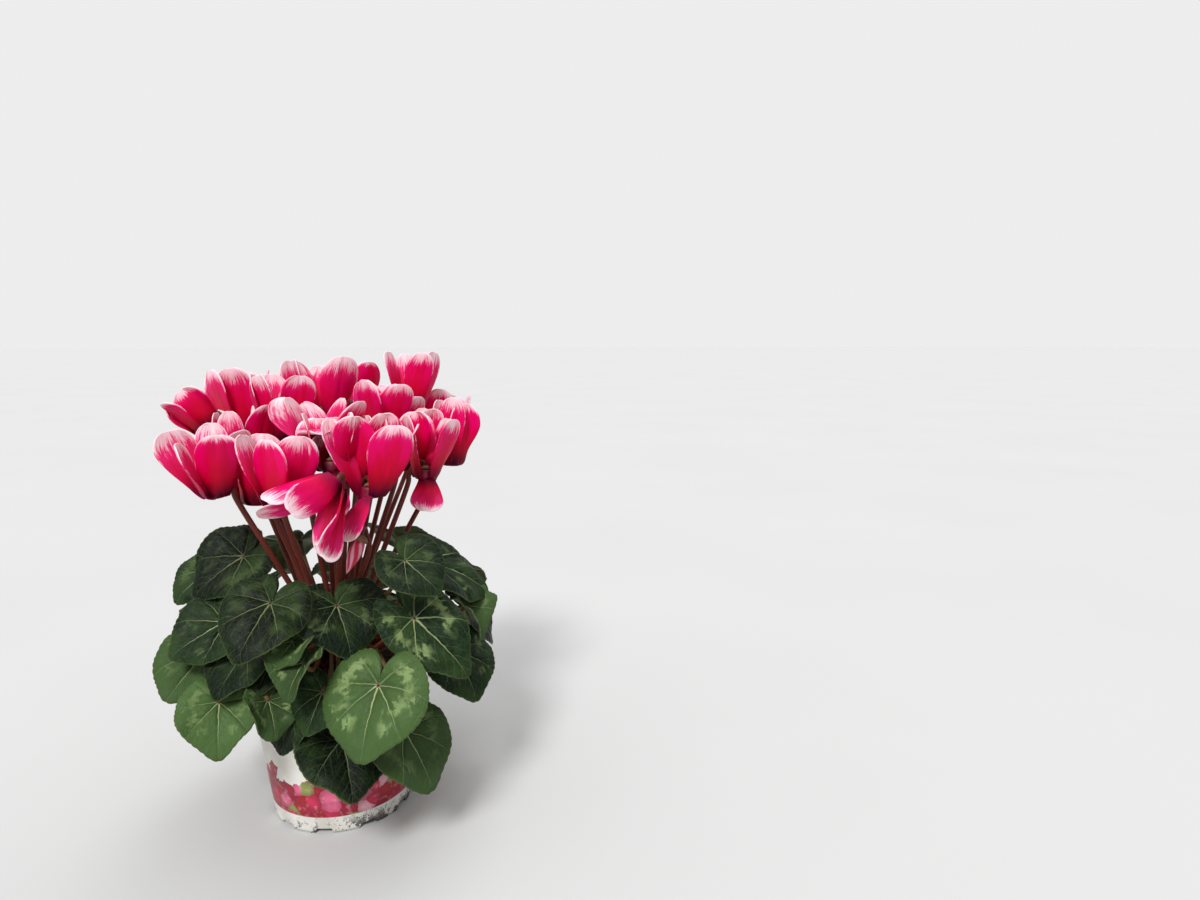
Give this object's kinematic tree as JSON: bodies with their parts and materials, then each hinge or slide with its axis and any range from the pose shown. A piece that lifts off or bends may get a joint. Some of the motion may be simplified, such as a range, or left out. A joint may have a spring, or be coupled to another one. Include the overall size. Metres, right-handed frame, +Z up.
{
  "type": "potted cyclamen",
  "caption": "Flowering cyclamen in a tapered plastic grower's pot: heart-shaped marbled leaves on arching petioles, hooked flower stalks and swept-back petals.",
  "frame": {"origin": "centre of the pot's foot, on the surface that the pot stands on", "axes": "+Z up along the pot's axis; -Y towards the side with the largest leaves; +X to the right as seen from that side"},
  "size_m": [0.1824, 0.2164, 0.2634],
  "materials": {
    "pot": "satin white with a printed band",
    "soil": "rough, moist",
    "tuber": "corky",
    "leaf": "satin, pale veins and silver marbling",
    "stalk": "satin, brown-red",
    "petal": "soft, carmine fading to white tips",
    "bud": "soft"
  },
  "bodies": {
    "root": {"pot": "pot", "soil": "soil", "tuber": "tuber", "leaf_front_heart": "leaf", "leaf_front_low_right": "leaf", "leaf_front_low": "leaf", "leaf_front_low_left": "leaf", "leaf_front_round": "leaf", "leaf_front_curled": "leaf", "leaf_front_wide": "leaf", "leaf_right_large": "leaf", "leaf_right_round": "leaf", "leaf_right_long": "leaf", "leaf_right_far": "leaf", "leaf_right_low": "leaf", "leaf_left_dark": "leaf", "leaf_left_back": "leaf", "leaf_left_middle": "leaf", "leaf_left_low": "leaf", "leaf_left_front": "leaf", "leaf_left_under": "leaf", "leaf_rear_right": "leaf", "leaf_rear_right_high": "leaf", "leaf_rear_right_low": "leaf", "leaf_rear_middle": "leaf", "leaf_rear_middle_low": "leaf", "leaf_rear_left_high": "leaf", "leaf_rear_left": "leaf", "leaf_left_rear": "leaf", "stalk_left_high": "stalk", "flower_left_high": "petal", "stalk_left_front": "stalk", "flower_left_front": "petal", "stalk_left_inner": "stalk", "flower_left_inner": "petal", "stalk_left_rear": "stalk", "flower_left_rear": "petal", "stalk_middle_left": "stalk", "flower_middle_left": "petal", "stalk_middle_high": "stalk", "flower_middle_high": "petal", "stalk_rear_high": "stalk", "flower_rear_high": "petal", "stalk_middle_right": "stalk", "flower_middle_right": "petal", "stalk_right_high": "stalk", "flower_right_high": "petal", "stalk_front_right": "stalk", "flower_front_right": "petal", "stalk_right_front": "stalk", "flower_right_front": "petal", "stalk_right_far": "stalk", "flower_right_far": "petal", "stalk_rear_right": "stalk", "flower_rear_right": "petal", "stalk_front_left": "stalk", "flower_front_left": "petal", "stalk_front_drooping": "stalk", "flower_front_drooping": "petal", "bud": "bud"}
  },
  "joints": []
}
